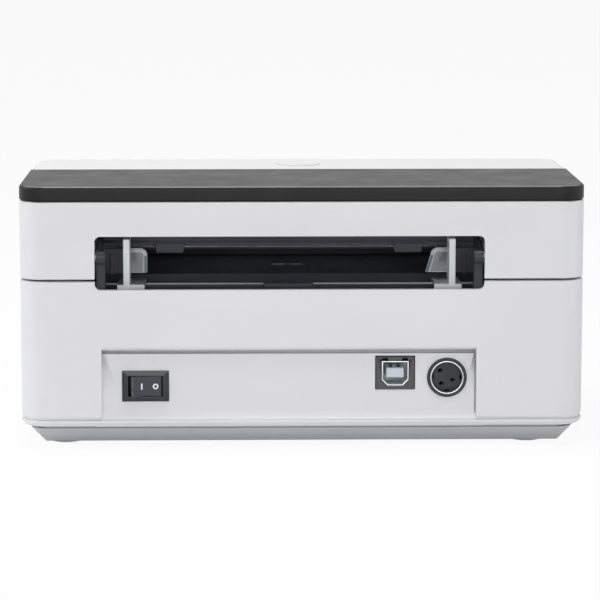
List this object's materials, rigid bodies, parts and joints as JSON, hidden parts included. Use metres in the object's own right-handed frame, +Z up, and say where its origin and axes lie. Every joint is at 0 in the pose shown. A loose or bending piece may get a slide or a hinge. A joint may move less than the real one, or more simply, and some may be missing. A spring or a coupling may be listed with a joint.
{
  "type": "thermal label printer",
  "caption": "Slim desktop direct thermal label printer fed from behind, with hinged lid, sliding label guides, platen drive and rear sockets.",
  "frame": {"origin": "centre of the footprint on the plane the feet rest on", "axes": "+X along the width, towards the power switch; +Y from the label exit to the rear face; +Z up"},
  "size_m": [0.18, 0.091, 0.0843],
  "materials": {
    "white_shell": "fine satin moulding",
    "grey_base": "fine satin moulding",
    "black_panel": "fine grain",
    "dark_inner": "satin",
    "guide_grey": "satin",
    "gear_white": "smooth",
    "black_plastic": "smooth",
    "roller_rubber": "ground rubber",
    "foot_rubber": "matt rubber",
    "steel": "ground",
    "screw_steel": "zinc plated",
    "spring_steel": "drawn wire",
    "aluminium": "extruded",
    "brass": "machined",
    "head_ceramic": "glazed",
    "board": "solder mask",
    "chip_black": "moulded",
    "ivory": "moulded",
    "usb_tongue": "moulded"
  },
  "bodies": {
    "base": {"lower_housing": "white_shell", "bottom_cover": "grey_base", "rubber_feet": "foot_rubber", "case_screws": "screw_steel", "media_frame": "dark_inner", "frame_screws": "screw_steel", "pinion_screw": "screw_steel", "platen_bushings": "gear_white", "idler_axle": "steel", "stepper_motor": "steel", "motor_screws": "screw_steel", "main_board": "board", "board_chips": "chip_black", "board_capacitors": "chip_black", "board_connectors": "ivory", "board_screws": "screw_steel", "usb_shell": "steel", "usb_insert": "usb_tongue", "power_socket": "black_plastic", "power_socket_ring": "steel", "power_socket_insert": "black_plastic", "switch_body": "black_plastic", "switch_terminals": "steel", "gap_sensor": "black_plastic", "hinge_pins": "steel", "latch_spring_left": "spring_steel", "latch_spring_right": "spring_steel"},
    "left_guide_slide": {"left_guide": "guide_grey"},
    "right_guide_slide": {"right_guide": "guide_grey"},
    "guide_pinion_wheel": {"guide_pinion": "gear_white"},
    "platen": {"platen_shaft": "steel", "platen_roller": "roller_rubber", "platen_gear": "gear_white"},
    "idler": {"idler_gear": "gear_white"},
    "motor_rotor": {"motor_shaft": "steel", "motor_pinion": "brass"},
    "power_rocker": {"switch_rocker": "black_plastic"},
    "left_latch": {"latch_left": "white_shell"},
    "right_latch": {"latch_right": "white_shell"},
    "lid": {"upper_cover": "white_shell", "top_panel": "black_panel", "lid_frame": "dark_inner", "lid_screws": "screw_steel", "head_pivot_pin": "steel", "head_springs": "spring_steel", "tear_bar": "steel", "button_board": "board", "button_spring": "spring_steel", "sensor_lamp": "black_plastic"},
    "head": {"head_bracket": "steel", "heat_sink": "aluminium", "print_head": "head_ceramic", "head_screws": "screw_steel"},
    "button": {"feed_button": "white_shell"}
  },
  "joints": [
    {"name": "lid_hinge", "type": "hinge", "parent": "base", "child": "lid", "pos_m": [0.004, 0.0429, 0.06145], "axis": [-1, 0, 0], "range_deg": [0, 75]},
    {"name": "left_guide_travel", "type": "slide", "parent": "base", "child": "left_guide_slide", "axis": [-1, 0, 0], "range_m": [-0.005, 0.03]},
    {"name": "right_guide_travel", "type": "slide", "parent": "base", "child": "right_guide_slide", "axis": [1, 0, 0], "range_m": [-0.005, 0.03]},
    {"name": "guide_pinion_spin", "type": "hinge", "parent": "base", "child": "guide_pinion_wheel", "pos_m": [0.004, 0.033, 0.0449], "axis": [0, 0, 1], "range_deg": [-69.2, 410.3]},
    {"name": "platen_spin", "type": "hinge", "parent": "base", "child": "platen", "pos_m": [0.004, -0.034, 0.0477], "axis": [1, 0, 0], "continuous": true},
    {"name": "idler_spin", "type": "hinge", "parent": "base", "child": "idler", "pos_m": [0.071, -0.02825, 0.03774], "axis": [1, 0, 0], "continuous": true},
    {"name": "motor_spin", "type": "hinge", "parent": "base", "child": "motor_rotor", "pos_m": [0.06, -0.01514, 0.02856], "axis": [1, 0, 0], "continuous": true},
    {"name": "power_switch", "type": "hinge", "parent": "base", "child": "power_rocker", "pos_m": [0.0501, 0.0418, 0.01985], "axis": [0, 0, -1], "range_deg": [0, 14]},
    {"name": "left_latch_press", "type": "slide", "parent": "base", "child": "left_latch", "axis": [-1, 0, 0], "range_m": [0, 0.0025], "stiffness_N_per_m": 400, "deforming": ["latch_spring_left"]},
    {"name": "right_latch_press", "type": "slide", "parent": "base", "child": "right_latch", "axis": [1, 0, 0], "range_m": [0, 0.0025], "stiffness_N_per_m": 400, "deforming": ["latch_spring_right"]},
    {"name": "head_float", "type": "hinge", "parent": "lid", "child": "head", "pos_m": [0.004, -0.017, 0.0642], "axis": [-1, 0, 0], "range_deg": [0, 2], "stiffness_Nm_per_rad": 3, "deforming": ["head_springs"]},
    {"name": "feed_button_press", "type": "slide", "parent": "lid", "child": "button", "axis": [0, 0, -1], "range_m": [0, 0.0008], "stiffness_N_per_m": 500, "deforming": ["button_spring"]}
  ],
  "couplings": [
    {"joint": "right_guide_travel", "follows": "left_guide_travel", "ratio": 1},
    {"joint": "guide_pinion_spin", "follows": "left_guide_travel", "rad_per_m": 238.1},
    {"joint": "idler_spin", "follows": "platen_spin", "ratio": -1.5556},
    {"joint": "motor_spin", "follows": "platen_spin", "ratio": 5.5556}
  ]
}
